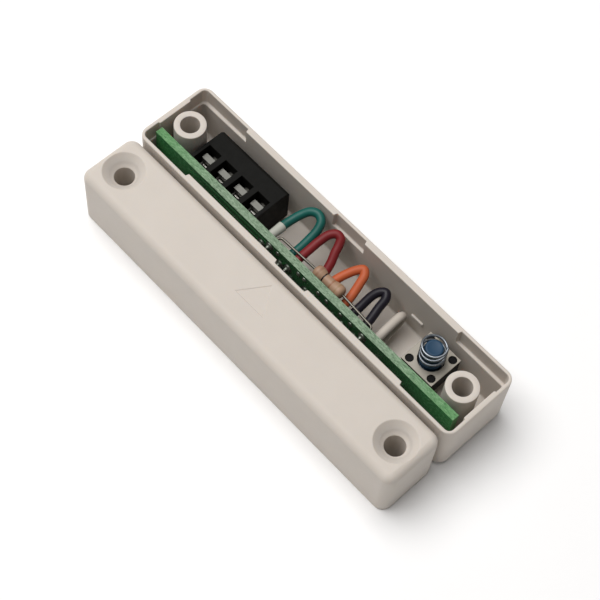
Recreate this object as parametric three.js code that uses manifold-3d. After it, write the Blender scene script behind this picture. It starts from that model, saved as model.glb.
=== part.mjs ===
// Surface-mount door contact: a sensor housing and a magnet housing, lying side by side.
//
// Frame, in millimetres: +X along both housings, +Y across from the magnet unit to the sensor
// unit, +Z up. The origin is at the middle of the pair, on the surface that it lies on. The magnet
// unit stands on its open base. The sensor unit lies upside down on its front face, with its open
// back up. Inside each unit, x and y are counted from that housing's own middle.

import * as THREE from 'three';
import { mergeVertices } from 'three/addons/utils/BufferGeometryUtils.js';
import Module from 'manifold-3d';

// ---------------------------------------------------------------- driving dimensions

// Shared by both housings
const LENGTH = 64;
const CORNER_RADIUS = 1.6;
const INNER_RADIUS = 0.6;
const SCREW_X = 28;
const COUNTERSINK_R = 3.15;
const FRONT_WALL = 1.2;
const UNIT_GAP = 0.45;
const UNIT_STAGGER = 0.5;

// Sensor housing
const SENSOR = { width: 13.2, height: 11.2, edge: 1.2, side: 1.1, end: 0.85 };
const SENSOR_PILLAR = { radius: 2.45, bore: 1.45, top: 11.1, shiftX: -0.15, y: 0.2 };
const SENSOR_PILLAR_XS = [-1, 1].map((mirror) => mirror * SCREW_X + SENSOR_PILLAR.shiftX);
const SEAT = { depth: 2.8, thinning: 0.55, middle: 3.1, end: 21.9, endPad: 3, radius: 0.8 };
const SNAP_RIB = { left: 13.8, right: 16.05, low: 4.8, high: 5.3 };

// Magnet housing
const MAGNET = { width: 10.1, height: 10.9, edge: 1.3, wall: 1.2 };
const MAGNET_PILLAR = { radius: 2.7, bore: 1.55 };
const BAR = { length: 36, width: 6, height: 5, bottom: 4.6 };
const MARK = { depth: 0.15, base: 5.8, x: -0.2, y: -1, tip: 3.5 };

// Circuit board, standing on edge
const BOARD = { left: -30.9, right: 30.3, near: -4.05, far: -2.85, bottom: 1.5, top: 10.3 };
const TAIL_END = -4.9;
const LEAD_R = 0.2;
const HOLE_CLEARANCE = 0.15;

// Screw terminals
const POLES = 4;
const POLE_PITCH = 3.5;
const TERMINAL = { middle: -18.1, length: 14.2, near: -2.75, far: 4.3, bottom: 2.4, top: 9 };
const POCKET = { half: 1.3, near: -2.45, far: 1, bottom: 3 };
const SCREW_Z = 6.15;
const PIN_Z = 3.5;

// Insulated wire links
const INSULATION_R = 0.68;
const STRIPPED = 0.25;
const SLEEVE = { radius: 0.78, bore: 0.4, near: -2.7, far: 0.1 };

// Axial resistor and reed switch
const RESISTOR = { middle: 3.6, y: -1.65, z: 9.25, half: 2.8 };
const RESISTOR_BENDS = { left: [-6.2, -1.9, 9.35], right: [12.8, -2, 9.15] };
const REED = { middle: 1.8, y: -1.2, z: 3.2, half: 7, reach: 9.7, bore: 0.85, radius: 1.1 };

// Tamper switch
const TACT = { x: 21.05, y: 1.7, size: 5.9, bottom: 3.7, deck: 6.7, plate: 7 };
const PLUNGER = { stem: 1.35, collar: 1.8, shaft: 1.6, foot: 6.15, seat: 7.7, top: 10.6 };
const SPRING = { coil: 1.8, wire: 0.19, bottom: 7.75, top: 11.5, turns: 3.1, closed: 0.5 };

const COLOURS = {
  housing: 0xd8cfc4, board: 0x2f6a3c, black: 0x1c1c1c, metal: 0xb8b8b4, chrome: 0xd8dadc,
  grey: 0xb9bdb6, green: 0x1e645a, red: 0x7a2326, orange: 0xb9643f, violet: 0x2d2837,
  white: 0xcfc8bd, resistor: 0xb9967d, glass: 0x9fb8a8, blue: 0x325a7d, magnet: 0x55565a,
};

// ---------------------------------------------------------------- solids

const wasm = await Module();
wasm.setup();

function toSolid(geometry) {
  const bare = geometry.clone();
  bare.deleteAttribute('normal');
  bare.deleteAttribute('uv');
  const merged = mergeVertices(bare, 1e-4);
  const corners = merged.index.array;
  const triangles = [];
  for (let i = 0; i < corners.length; i += 3) {
    const [a, b, c] = corners.slice(i, i + 3);
    if (a !== b && b !== c && c !== a) triangles.push(a, b, c);
  }
  return new wasm.Manifold(new wasm.Mesh({
    numProp: 3,
    vertProperties: new Float32Array(merged.attributes.position.array),
    triVerts: new Uint32Array(triangles),
  }));
}

function toGeometry(solid) {
  const mesh = solid.getMesh();
  const geometry = new THREE.BufferGeometry();
  geometry.setAttribute('position', new THREE.BufferAttribute(mesh.vertProperties, 3));
  geometry.setIndex(new THREE.BufferAttribute(mesh.triVerts, 1));
  geometry.computeVertexNormals();
  return geometry;
}

const joinAll = (solids) => solids.reduce((whole, piece) => whole.add(piece));
const cutAll = (whole, tools) => tools.reduce((rest, tool) => rest.subtract(tool), whole);

function block(x, y, z) {
  const geometry = new THREE.BoxGeometry(x[1] - x[0], y[1] - y[0], z[1] - z[0]);
  geometry.translate((x[0] + x[1]) / 2, (y[0] + y[1]) / 2, (z[0] + z[1]) / 2);
  return toSolid(geometry);
}

// A cone or cylinder along +Z from z[0] to z[1], turned onto another axis by the caller.
function round(radiusLow, radiusHigh, z, sides) {
  const geometry = new THREE.CylinderGeometry(radiusHigh, radiusLow, z[1] - z[0], sides);
  geometry.rotateX(Math.PI / 2);
  geometry.translate(0, 0, (z[0] + z[1]) / 2);
  return geometry;
}

const roundZ = (r, x, y, z, sides = 16) => toSolid(round(r, r, z, sides).translate(x, y, 0));

function roundY(r, x, y, z, sides = 16) {
  return toSolid(round(r, r, y, sides).rotateX(-Math.PI / 2).translate(x, 0, z));
}

function roundedRectangle(width, depth, radius) {
  const [a, b] = [width / 2, depth / 2];
  const shape = new THREE.Shape();
  shape.absarc(a - radius, b - radius, radius, 0, Math.PI / 2);
  shape.absarc(radius - a, b - radius, radius, Math.PI / 2, Math.PI);
  shape.absarc(radius - a, radius - b, radius, Math.PI, 1.5 * Math.PI);
  shape.absarc(a - radius, radius - b, radius, 1.5 * Math.PI, 2 * Math.PI);
  return shape;
}

function slab(shape, z, curveSegments = 3) {
  const options = { depth: z[1] - z[0], bevelEnabled: false, curveSegments };
  return toSolid(new THREE.ExtrudeGeometry(shape, options).translate(0, 0, z[0]));
}

// A block with round corners, whose lower or upper edge is rounded over as well.
function mouldedBlock(width, depth, height, edge, roundedSide) {
  const shape = roundedRectangle(width - 2 * edge, depth - 2 * edge, CORNER_RADIUS - edge + 0.01);
  const geometry = new THREE.ExtrudeGeometry(shape, {
    depth: height, bevelSize: edge, bevelThickness: edge, bevelSegments: 4, curveSegments: 4,
  });
  const shift = roundedSide === 'lower' ? edge : -edge;
  geometry.translate(0, 0, shift);
  return toSolid(geometry).intersect(block([-width, width], [-depth, depth], [0, height]));
}

function circlePoints(radius, sides) {
  const corner = (i) => (2 * Math.PI * i) / sides;
  return Array.from({ length: sides }, (_, i) =>
    new THREE.Vector2(radius * Math.cos(corner(i)), radius * Math.sin(corner(i))));
}

function tube(curve, radius, steps, sides = 8) {
  const section = new THREE.Shape(circlePoints(radius, sides));
  return toSolid(new THREE.ExtrudeGeometry(section, { extrudePath: curve, steps }));
}

function straight(from, to) {
  return new THREE.LineCurve3(new THREE.Vector3(...from), new THREE.Vector3(...to));
}

// ---------------------------------------------------------------- housings

// The screw's way through a housing's front wall and its pillar: a bore with a countersink.
// The front wall's outer face is at z = face, and the hole runs from it towards inward (+1 or -1).
function screwWay(x, y, face, inward, boreRadius) {
  const depth = COUNTERSINK_R - boreRadius;
  const margin = 0.2;
  const far = face + inward * depth;
  const near = face - inward * margin;
  const outer = COUNTERSINK_R + margin;
  const cone = inward > 0
    ? round(outer, boreRadius, [near, far], 24)
    : round(boreRadius, outer, [far, near], 24);
  const bore = roundZ(boreRadius, x, y, [-1, LENGTH / 2], 24);
  return toSolid(cone.translate(x, y, 0)).add(bore);
}

function sensorHousing() {
  const { width, height, edge, side, end } = SENSOR;
  const top = height + 1;
  const inner = roundedRectangle(LENGTH - 2 * end, width - 2 * side, INNER_RADIUS);
  const cavity = slab(inner, [FRONT_WALL, top]);

  // The rim is thinner at its corners and at its middle, down to a ledge.
  const thin = SEAT.thinning;
  const [seatLength, seatWidth] = [LENGTH - 2 * end + thin, width - 2 * side + 2 * thin];
  const seatShape = roundedRectangle(seatLength, seatWidth, SEAT.radius);
  const pads = [1, -1].flatMap((mirror) => {
    const along = [mirror * SEAT.middle, mirror * SEAT.end].sort((a, b) => a - b);
    const atEnd = [mirror * SEAT.end, mirror * LENGTH].sort((a, b) => a - b);
    return [
      block(along, [-width, width], [0, top + 1]),
      block(atEnd, [-SEAT.endPad, SEAT.endPad], [0, top + 1]),
    ];
  });
  const seats = cutAll(slab(seatShape, [height - SEAT.depth, top]), pads);

  const shell = mouldedBlock(LENGTH, width, height, edge, 'lower').subtract(cavity).subtract(seats);
  const wallFar = width / 2 - side;
  const additions = [
    // screw pillars
    ...SENSOR_PILLAR_XS.map((x) =>
      roundZ(SENSOR_PILLAR.radius, x, SENSOR_PILLAR.y, [FRONT_WALL / 2, SENSOR_PILLAR.top], 32)),
    // ribs that hold the board on its near side, and feet that hold it on its far side
    ...[-15, 15].map((x) => block([x - 0.5, x + 0.5], [-wallFar - 0.3, BOARD.near - 0.3], [1, 4])),
    ...[-7.6, 15.8].map((x) => block([x - 1, x + 1], [BOARD.far + 0.3, -1.9], [1, 2.2])),
    // snap rib low on the far wall
    block([SNAP_RIB.left, SNAP_RIB.right], [wallFar - 0.3, wallFar + 0.3], [SNAP_RIB.low, SNAP_RIB.high]),
  ];
  const ways = SENSOR_PILLAR_XS.map((x) =>
    screwWay(x, SENSOR_PILLAR.y, 0, 1, SENSOR_PILLAR.bore));
  return cutAll(joinAll([shell, ...additions]), ways);
}

function alignmentMark() {
  const { depth, base, x, y, tip } = MARK;
  const shape = new THREE.Shape();
  shape.moveTo(x - base / 2, y);
  shape.lineTo(x + base / 2, y);
  shape.lineTo(x, tip);
  return slab(shape, [MAGNET.height - depth, MAGNET.height + 1]);
}

function magnetHousing() {
  const { width, height, edge, wall } = MAGNET;
  const roof = height - FRONT_WALL;
  const inner = roundedRectangle(LENGTH - 2 * wall, width - 2 * wall, INNER_RADIUS);
  const cavity = slab(inner, [-1, roof]);
  const shell = mouldedBlock(LENGTH, width, height, edge, 'upper').subtract(cavity);
  const inside = width / 2 - wall;
  const ribs = [-15, -5, 5, 15].flatMap((x) => [1, -1].map((mirror) => {
    const across = [mirror * (BAR.width / 2 + 0.1), mirror * (inside + 0.2)].sort((a, b) => a - b);
    return block([x - 0.5, x + 0.5], across, [BAR.bottom, roof + 0.2]);
  }));
  const pillars = [-SCREW_X, SCREW_X].map((x) =>
    roundZ(MAGNET_PILLAR.radius, x, 0, [0, roof + 0.2], 32));
  const ways = [-SCREW_X, SCREW_X].map((x) => screwWay(x, 0, height, -1, MAGNET_PILLAR.bore));
  return cutAll(joinAll([shell, ...ribs, ...pillars]), [...ways, alignmentMark()]);
}

function barMagnet() {
  const { length, width, height, bottom } = BAR;
  const chamfer = 0.4;
  const shape = new THREE.Shape();
  const [a, b] = [length / 2, width / 2];
  const corners = [[-1, -1], [1, -1], [1, 1], [-1, 1]];
  corners.forEach(([sx, sy], i) => {
    const first = [sx * (a - chamfer), sy * b];
    const second = [sx * a, sy * (b - chamfer)];
    const pair = i % 2 === 0 ? [second, first] : [first, second];
    pair.forEach(([x, y], j) => (i + j === 0 ? shape.moveTo(x, y) : shape.lineTo(x, y)));
  });
  return slab(shape, [bottom, bottom + height]);
}

// ---------------------------------------------------------------- wire links

// Each link's middle line: out of the board, round its bend and back, in the sensor's own x, y, z.
// The green one starts further out, where its insulation does.
const LINKS = {
  green: [
    [-7.85, 0.25, 8.1], [-7.75, 1.2, 8.2], [-7.25, 3, 8.75], [-6.45, 4.25, 9.3], [-5.35, 4.7, 9.45],
    [-4.3, 4.25, 9.3], [-3.8, 3.1, 8.8], [-3.7, 1, 8], [-3.75, -0.6, 7.5], [-3.9, -2.6, 7.3],
  ],
  red: [
    [-2.3, -2.6, 8.2], [-2.3, -0.4, 8.5], [-2.2, 2, 9], [-1.9, 3.5, 9.4], [-1.2, 4.35, 9.6],
    [-0.35, 4.35, 9.4], [0.1, 3.6, 8.95], [0.45, 2.6, 8.5], [1.05, 1.2, 7.8], [1.4, -0.4, 7.1],
    [1.45, -2.6, 6.7],
  ],
  orange: [
    [3.1, -2.6, 7], [3.2, -0.6, 7.2], [3.55, 1.2, 7.5], [4.35, 3.3, 7.8], [5, 4, 7.95],
    [5.65, 3.5, 7.85], [6.15, 2, 7.6], [6.65, 0.2, 7.4], [6.85, -1, 7.2], [6.95, -2.6, 7],
  ],
  violet: [
    [8.9, -2.6, 7.2], [8.75, -0.2, 7.4], [8.65, 2.3, 7.5], [9, 3.4, 7.6], [9.65, 3.9, 7.65],
    [10.25, 3.3, 7.55], [10.6, 1.6, 7.4], [11.1, -0.6, 7.2], [11.4, -2.6, 7.1],
  ],
  white: [
    [13.5, -2.6, 5.8], [13.35, -0.6, 5.7], [13.15, 2.4, 5.6], [13.05, 3.8, 5.3],
    [13, 4.4, 4.5], [13.05, 3.8, 3.7], [13.15, 2.4, 3.3], [13.25, -0.6, 3.2], [13.3, -2.6, 3.2],
  ],
};

const LINK_STEPS = 26;

function linkEnds(points) {
  return [points[0], points[points.length - 1]];
}

function wireLink(points) {
  const path = new THREE.CatmullRomCurve3(points.map((p) => new THREE.Vector3(...p)));
  const tails = linkEnds(points).map(([x, y, z]) =>
    tube(straight([x, TAIL_END, z], [x, y + STRIPPED, z]), LEAD_R, 1));
  return joinAll([tube(path, INSULATION_R, LINK_STEPS), ...tails]);
}

// The loose sleeve over the bare wire between the board and the green link's insulation.
function linkSleeve() {
  const [x, , z] = LINKS.green[0];
  const { radius, bore, near, far } = SLEEVE;
  return roundY(radius, x, [near, far], z, 16).subtract(roundY(bore, x, [near - 1, far + 1], z, 12));
}

// ---------------------------------------------------------------- board and its components

const polePositions = Array.from({ length: POLES }, (_, i) =>
  TERMINAL.middle + (i - (POLES - 1) / 2) * POLE_PITCH);

const TACT_LEG_OFFSET = 2.25;
const TACT_LEG_Z = 4.6;

function circuitBoard() {
  const { left, right, near, far, bottom, top } = BOARD;
  const wireHoles = [
    ...Object.values(LINKS).flatMap(linkEnds).map(([x, , z]) => [x, z]),
    ...Object.values(RESISTOR_BENDS).map(([x, , z]) => [x, z]),
    [REED.middle - REED.reach, REED.z], [REED.middle + REED.reach, REED.z],
  ];
  const squareTails = [
    ...polePositions.map((x) => [x, PIN_Z]),
    ...[-1, 1].map((mirror) => [TACT.x + mirror * TACT_LEG_OFFSET, TACT_LEG_Z]),
  ];
  const tools = [
    ...wireHoles.map(([x, z]) => roundY(LEAD_R + HOLE_CLEARANCE, x, [near - 1, far + 1], z, 8)),
    ...squareTails.map(([x, z]) => roundY(0.6, x, [near - 1, far + 1], z, 8)),
  ];
  return cutAll(block([left, right], [near, far], [bottom, top]), tools);
}

function terminalBody() {
  const { middle, length, near, far, bottom, top } = TERMINAL;
  const bevel = 0.6;
  const profile = new THREE.Shape();
  [[near, bottom], [far, bottom], [far, top - bevel], [far - bevel, top], [near, top]]
    .forEach(([y, z], i) => (i === 0 ? profile.moveTo(y, z) : profile.lineTo(y, z)));
  const geometry = new THREE.ExtrudeGeometry(profile, { depth: length, bevelEnabled: false });
  // The profile is drawn in y and z, so its own x, y and z turn into y, z and x.
  geometry.applyMatrix4(new THREE.Matrix4().makeBasis(
    new THREE.Vector3(0, 1, 0), new THREE.Vector3(0, 0, 1), new THREE.Vector3(1, 0, 0)));
  geometry.translate(middle - length / 2, 0, 0);
  const tools = polePositions.flatMap((x) => [
    block([x - POCKET.half, x + POCKET.half], [POCKET.near, POCKET.far], [POCKET.bottom, top + 1]),
    block([x - 0.5, x + 0.5], [near - 1, POCKET.near + 0.5], [POCKET.bottom + 0.1, POCKET.bottom + 0.9]),
    roundY(0.9, x, [POCKET.far - 0.5, 3.4], SCREW_Z, 16),
    roundY(1.35, x, [2.9, far + 1], SCREW_Z, 16),
  ]);
  return cutAll(toSolid(geometry), tools);
}

// The rising cage: a ring round the contact strip, with a thick threaded wall on the screw's side.
function terminalClamp() {
  const [low, high, lip] = [4.3, 6.6, 8];
  const ring = block([-1, 1], [-2.35, -0.8], [low, high])
    .subtract(block([-0.7, 0.7], [-2.05, -0.5], [low - 1, high + 1]));
  const wall = block([-1, 1], [-0.85, 0.15], [low, lip]);
  return wall.add(ring).subtract(roundY(0.88, 0, [-2, 1], SCREW_Z, 16));
}

function terminalScrew() {
  const head = roundY(1.2, 0, [3, 3.95], SCREW_Z, 16);
  const shank = roundY(0.8, 0, [-0.75, 3.2], SCREW_Z, 16);
  const slot = block([-2, 2], [3.45, 5], [SCREW_Z - 0.2, SCREW_Z + 0.2]);
  return head.add(shank).subtract(slot);
}

function terminalPin() {
  const strip = block([-0.5, 0.5], [-1.2, -0.95], [PIN_Z - 0.25, 6.8]);
  const tail = block([-0.3, 0.3], [TAIL_END, -0.95], [PIN_Z - 0.25, PIN_Z + 0.25]);
  return strip.add(tail);
}

// ---------------------------------------------------------------- leaded parts

function latheAlongX(profile, sides) {
  const points = profile.map(([x, r]) => new THREE.Vector2(r, x));
  return toSolid(new THREE.LatheGeometry(points, sides).rotateZ(-Math.PI / 2));
}

// A dog-bone body, whose waist lies a little to the left.
function resistorBody() {
  const { half } = RESISTOR;
  const [bulge, waist] = [1.08, 0.82];
  const end = [[half, 0], [half, 0.5], [half - 0.25, 0.88], [half - 0.7, bulge], [half - 1.15, 1.02]];
  const right = [[0.55, waist], [1.1, 0.98], ...end.reverse()];
  const left = right.map(([x, r]) => [-x - (x < 2 ? 0.3 : 0), r]).reverse();
  return latheAlongX([...left, ...right], 16);
}

// A lead that leaves its body, bends towards the board at a corner and ends in a solder tail.
function bentLead(start, corner) {
  const bend = 0.6;
  const [from, at] = [start, corner].map((point) => new THREE.Vector3(...point));
  const before = from.clone().sub(at).setLength(bend).add(at);
  const after = at.clone().sub(new THREE.Vector3(0, bend, 0));
  const end = new THREE.Vector3(at.x, TAIL_END, at.z);
  return joinAll([
    tube(new THREE.LineCurve3(from, before), LEAD_R, 1),
    tube(new THREE.QuadraticBezierCurve3(before, at, after), LEAD_R, 4),
    tube(new THREE.LineCurve3(after, end), LEAD_R, 1),
  ]);
}

function reedGlass() {
  const { half, bore, radius } = REED;
  const neck = 0.42;
  const outer = [[-half, neck], [-half + 0.1, 0.8], [-half + 0.7, radius]];
  const inner = [[half - 0.8, neck], [half - 1.4, bore]];
  const mirror = (points) => points.map(([x, r]) => [-x, r]).reverse();
  const loop = [...outer, ...mirror(outer), ...inner, ...mirror(inner), outer[0]];
  return latheAlongX(loop, 16);
}

const BLADE = { half: 0.55, gap: 0.06, thick: 0.14, overlap: 0.6, root: 5.7 };

// A flat reed blade, from x[0] to x[1], that lies above (+1) or below (-1) the reed's middle.
function reedBlade(x, side) {
  const faces = [side * BLADE.gap, side * (BLADE.gap + BLADE.thick)].sort((a, b) => a - b);
  return block(x, [REED.y - BLADE.half, REED.y + BLADE.half], faces.map((z) => REED.z + z));
}

// The lead on one side (-1 or +1) of the reed, from its own start in x.
function reedLead(side, start) {
  return bentLead([side * start, REED.y, REED.z], [side * REED.reach, REED.y, REED.z]);
}

const reedLeadLeft = () => reedLead(-1, 3.2).add(reedBlade([-3.4, BLADE.overlap], 1));
const reedLeadRight = () => reedLead(1, BLADE.root + 0.2);
const reedBladeMoving = () => reedBlade([-BLADE.overlap, BLADE.root], -1);

function chipResistor() {
  const near = BOARD.near - 0.1;
  return block([-1.55, 1.55], [near - 0.55, near], [-0.8, 0.8]);
}

// ---------------------------------------------------------------- tamper switch

const STUD = 2.15;
const studPlaces = [-1, 1].flatMap((sx) => [-1, 1].map((sy) => [sx * STUD, sy * STUD]));

function tamperBase() {
  const half = TACT.size / 2;
  const body = block([-half, half], [-half, half], [TACT.bottom, TACT.deck]);
  const studs = studPlaces.map(([x, y]) => roundZ(0.55, x, y, [TACT.deck - 0.5, TACT.plate - 0.1], 12));
  const well = roundZ(2.2, 0, 0, [5.1, TACT.deck + 1], 20);
  return joinAll([body, ...studs]).subtract(well);
}

function tamperCoverPlate() {
  const half = 3;
  const z = [TACT.deck + 0.05, TACT.plate];
  const holes = studPlaces.map(([x, y]) => roundZ(0.65, x, y, [0, 20], 12));
  return cutAll(block([-half, half], [-half, half], z), [roundZ(2, 0, 0, [0, 20], 20), ...holes]);
}

// A thin snap dome, just under the plunger's foot.
function tamperDome() {
  const profile = [[0, 5.7], [1, 5.6], [1.9, 5.2], [1.9, 5.3], [1, 5.7], [0, 5.8]];
  return toSolid(new THREE.LatheGeometry(profile.map(([r, z]) => new THREE.Vector2(r, z)), 16)
    .rotateX(Math.PI / 2));
}

function tamperPlunger() {
  const { stem, collar, shaft, foot, seat, top } = PLUNGER;
  const chamfer = 0.2;
  return joinAll([
    roundZ(shaft, 0, 0, [foot, seat - 0.2], 20),
    roundZ(collar, 0, 0, [seat - 0.4, seat], 20),
    roundZ(stem, 0, 0, [seat - 0.2, top - chamfer], 20),
    toSolid(round(stem, stem - chamfer, [top - chamfer, top], 20)),
  ]);
}

class CoilCurve extends THREE.Curve {
  getPoint(t, target = new THREE.Vector3()) {
    const { coil, wire, bottom, top, turns, closed } = SPRING;
    const turn = t * turns;
    const open = Math.min(Math.max(turn - closed, 0), turns - 2 * closed) / (turns - 2 * closed);
    const shut = (Math.min(turn, closed) + Math.max(turn - turns + closed, 0)) / (2 * closed);
    const closedRise = 4 * closed * wire;
    const rise = top - bottom - 2 * wire - closedRise;
    const angle = 2 * Math.PI * turn;
    return target.set(
      coil * Math.cos(angle), coil * Math.sin(angle), bottom + wire + open * rise + shut * closedRise);
  }
}

const tamperSpring = () => tube(new CoilCurve(), SPRING.wire, 56, 6);

function tamperLeg() {
  const half = TACT.size / 2;
  return block([-0.35, 0.35], [TAIL_END - TACT.y, -half - 0.1], [TACT_LEG_Z - 0.15, TACT_LEG_Z + 0.15]);
}

// ---------------------------------------------------------------- assembly

function named(name, solid, colour, roughness = 0.5, metalness = 0) {
  const material = new THREE.MeshStandardMaterial({ color: colour, roughness, metalness });
  const mesh = new THREE.Mesh(toGeometry(solid), material);
  mesh.name = name;
  return mesh;
}

function at(object, x, y, z) {
  object.position.set(x, y, z);
  return object;
}

function terminalGroup() {
  const group = new THREE.Group();
  group.add(named('terminal_body', terminalBody(), COLOURS.black, 0.45));
  polePositions.forEach((x, i) => {
    const number = i + 1;
    group.add(at(named(`terminal_clamp_${number}`, terminalClamp(), COLOURS.metal, 0.35, 1), x, 0, 0));
    group.add(at(named(`terminal_screw_${number}`, terminalScrew(), COLOURS.metal, 0.35, 1), x, 0, 0));
    group.add(at(named(`terminal_pin_${number}`, terminalPin(), COLOURS.metal, 0.4, 1), x, 0, 0));
  });
  return group;
}

function resistorGroup() {
  const { middle, y, z, half } = RESISTOR;
  const gap = 0.1;
  const group = new THREE.Group();
  group.add(at(named('resistor_body', resistorBody(), COLOURS.resistor, 0.4), middle, y, z));
  Object.entries(RESISTOR_BENDS).forEach(([side, corner]) => {
    const start = [middle + Math.sign(corner[0]) * (half + gap), y, z];
    group.add(named(`resistor_lead_${side}`, bentLead(start, corner), COLOURS.metal, 0.3, 1));
  });
  return group;
}

function reedGroup() {
  const group = at(new THREE.Group(), REED.middle, 0, 0);
  group.add(at(named('reed_glass', reedGlass(), COLOURS.glass, 0.1), 0, REED.y, REED.z));
  group.add(named('reed_lead_left', reedLeadLeft(), COLOURS.metal, 0.3, 1));
  group.add(named('reed_lead_right', reedLeadRight(), COLOURS.metal, 0.3, 1));
  group.add(named('reed_blade_moving', reedBladeMoving(), COLOURS.metal, 0.3, 1));
  return group;
}

function tamperGroup() {
  const group = at(new THREE.Group(), TACT.x, TACT.y, 0);
  group.add(named('tamper_base', tamperBase(), COLOURS.black, 0.5));
  group.add(named('tamper_cover_plate', tamperCoverPlate(), COLOURS.metal, 0.35, 1));
  group.add(named('tamper_dome', tamperDome(), COLOURS.chrome, 0.25, 1));
  group.add(named('tamper_plunger', tamperPlunger(), COLOURS.blue, 0.4));
  group.add(named('tamper_spring', tamperSpring(), COLOURS.chrome, 0.2, 1));
  [['left', -1], ['right', 1]].forEach(([side, mirror]) => {
    const leg = named(`tamper_leg_${side}`, tamperLeg(), COLOURS.metal, 0.35, 1);
    group.add(at(leg, mirror * TACT_LEG_OFFSET, 0, 0));
  });
  return group;
}

const CHIP_PLACES = [[-5.6, 5.2], [-0.5, 5], [5, 5], [10.2, 5]];

function sensorUnit() {
  const group = new THREE.Group();
  group.add(named('sensor_housing', sensorHousing(), COLOURS.housing, 0.5));
  group.add(named('circuit_board', circuitBoard(), COLOURS.board, 0.5));
  group.add(terminalGroup());
  Object.entries(LINKS).forEach(([colour, points]) => {
    group.add(named(`link_wire_${colour}`, wireLink(points), COLOURS[colour], 0.45));
  });
  group.add(named('link_sleeve', linkSleeve(), COLOURS.grey, 0.5));
  group.add(resistorGroup());
  CHIP_PLACES.forEach(([x, z], i) => {
    group.add(at(named(`chip_resistor_${i + 1}`, chipResistor(), COLOURS.black, 0.5), x, 0, z));
  });
  group.add(reedGroup());
  group.add(tamperGroup());
  return group;
}

function magnetUnit() {
  const group = new THREE.Group();
  group.add(named('magnet_housing', magnetHousing(), COLOURS.housing, 0.5));
  group.add(named('bar_magnet', barMagnet(), COLOURS.magnet, 0.6));
  return group;
}

const span = MAGNET.width + UNIT_GAP + SENSOR.width;
const group = new THREE.Group();
group.add(at(sensorUnit(), UNIT_STAGGER / 2, span / 2 - SENSOR.width / 2, 0));
group.add(at(magnetUnit(), -UNIT_STAGGER / 2, MAGNET.width / 2 - span / 2, 0));

export default group;
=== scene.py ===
"""A surface-mount door contact: the open sensor unit beside its magnet unit.

Lengths are in millimetres up to the point where a mesh is made. Each unit's pieces are laid out
from that housing's own middle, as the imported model's are.
"""
import math

import bmesh
import bpy
from mathutils import Matrix, Vector


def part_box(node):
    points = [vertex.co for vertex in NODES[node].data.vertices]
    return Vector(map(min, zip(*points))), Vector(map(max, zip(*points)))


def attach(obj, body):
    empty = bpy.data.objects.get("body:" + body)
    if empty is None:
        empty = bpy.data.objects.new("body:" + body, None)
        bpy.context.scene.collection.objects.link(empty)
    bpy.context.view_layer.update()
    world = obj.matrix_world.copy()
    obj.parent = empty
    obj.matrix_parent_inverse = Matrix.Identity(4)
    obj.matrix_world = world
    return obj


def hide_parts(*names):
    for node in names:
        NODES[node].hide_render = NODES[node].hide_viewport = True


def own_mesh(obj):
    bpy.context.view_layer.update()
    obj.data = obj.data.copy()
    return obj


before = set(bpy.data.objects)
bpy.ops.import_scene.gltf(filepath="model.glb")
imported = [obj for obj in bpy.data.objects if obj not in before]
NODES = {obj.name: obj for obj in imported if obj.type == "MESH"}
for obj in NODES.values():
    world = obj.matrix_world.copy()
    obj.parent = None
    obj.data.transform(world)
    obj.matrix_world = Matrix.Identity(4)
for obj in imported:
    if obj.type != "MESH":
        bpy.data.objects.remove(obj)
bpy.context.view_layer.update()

MM = 0.001
SHARP = 32  # degrees between two faces above which their edge is drawn sharp
BOARD = "board_module"


def middle(node):
    low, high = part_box(node)
    return (low + high) / 2 / MM


SENSOR = middle("sensor_housing")
MAGNET = middle("magnet_housing")
SENSOR.z = MAGNET.z = 0
TACT = middle("tamper_base")
TACT.z = 0


# ------------------------------------------------------------------ mesh tools

def loft(rings, loop=False):
    """Quads between rings of points. The end rings are closed, or with loop they join."""
    count = len(rings[0])
    points = [p for ring in rings for p in ring]
    last = len(rings) if loop else len(rings) - 1
    faces = []
    for i in range(last):
        low, high = i * count, ((i + 1) % len(rings)) * count
        for j in range(count):
            k = (j + 1) % count
            faces.append((low + j, low + k, high + k, high + j))
    if not loop:
        faces.append(tuple(range(count - 1, -1, -1)))
        faces.append(tuple(range((len(rings) - 1) * count, len(rings) * count)))
    return points, faces


def lathe(profile, sides=32, loop=False):
    """A profile of (radius, height) turned about Z, closed at its ends, or joined to a ring with loop."""
    rings = []
    for radius, height in profile:
        turn = [2 * math.pi * j / sides for j in range(sides)]
        rings.append([Vector((radius * math.cos(t), radius * math.sin(t), height)) for t in turn])
    return loft(rings, loop=loop)


def sweep(path, radius, sides=20, bevel=0.0):
    """A round tube along a path, with its ends rounded over by bevel."""
    path = [Vector(p) for p in path]
    tangents = []
    for i in range(len(path)):
        before, after = path[max(i - 1, 0)], path[min(i + 1, len(path) - 1)]
        tangents.append((after - before).normalized())
    side = tangents[0].orthogonal().normalized()
    rings = []
    for i, (point, tangent) in enumerate(zip(path, tangents)):
        if i:
            side = tangents[i - 1].rotation_difference(tangent) @ side
            side = (side - tangent * side.dot(tangent)).normalized()
        other = tangent.cross(side)
        turn = [2 * math.pi * j / sides for j in range(sides)]
        rings.append([point + radius * (math.cos(t) * side + math.sin(t) * other) for t in turn])
    if bevel:
        ends = []
        for ring, point, outward in ((rings[0], path[0], -tangents[0]),
                                     (rings[-1], path[-1], tangents[-1])):
            steps = []
            for k in (1, 2, 3):
                angle = math.pi / 6 * k
                shrink = 1 - bevel * (1 - math.cos(angle)) / (ring[0] - point).length
                push = outward * bevel * math.sin(angle)
                steps.append([point + (p - point) * shrink + push for p in ring])
            ends.append(steps)
        rings = ends[0][::-1] + rings + ends[1]
    return loft(rings)


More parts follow.
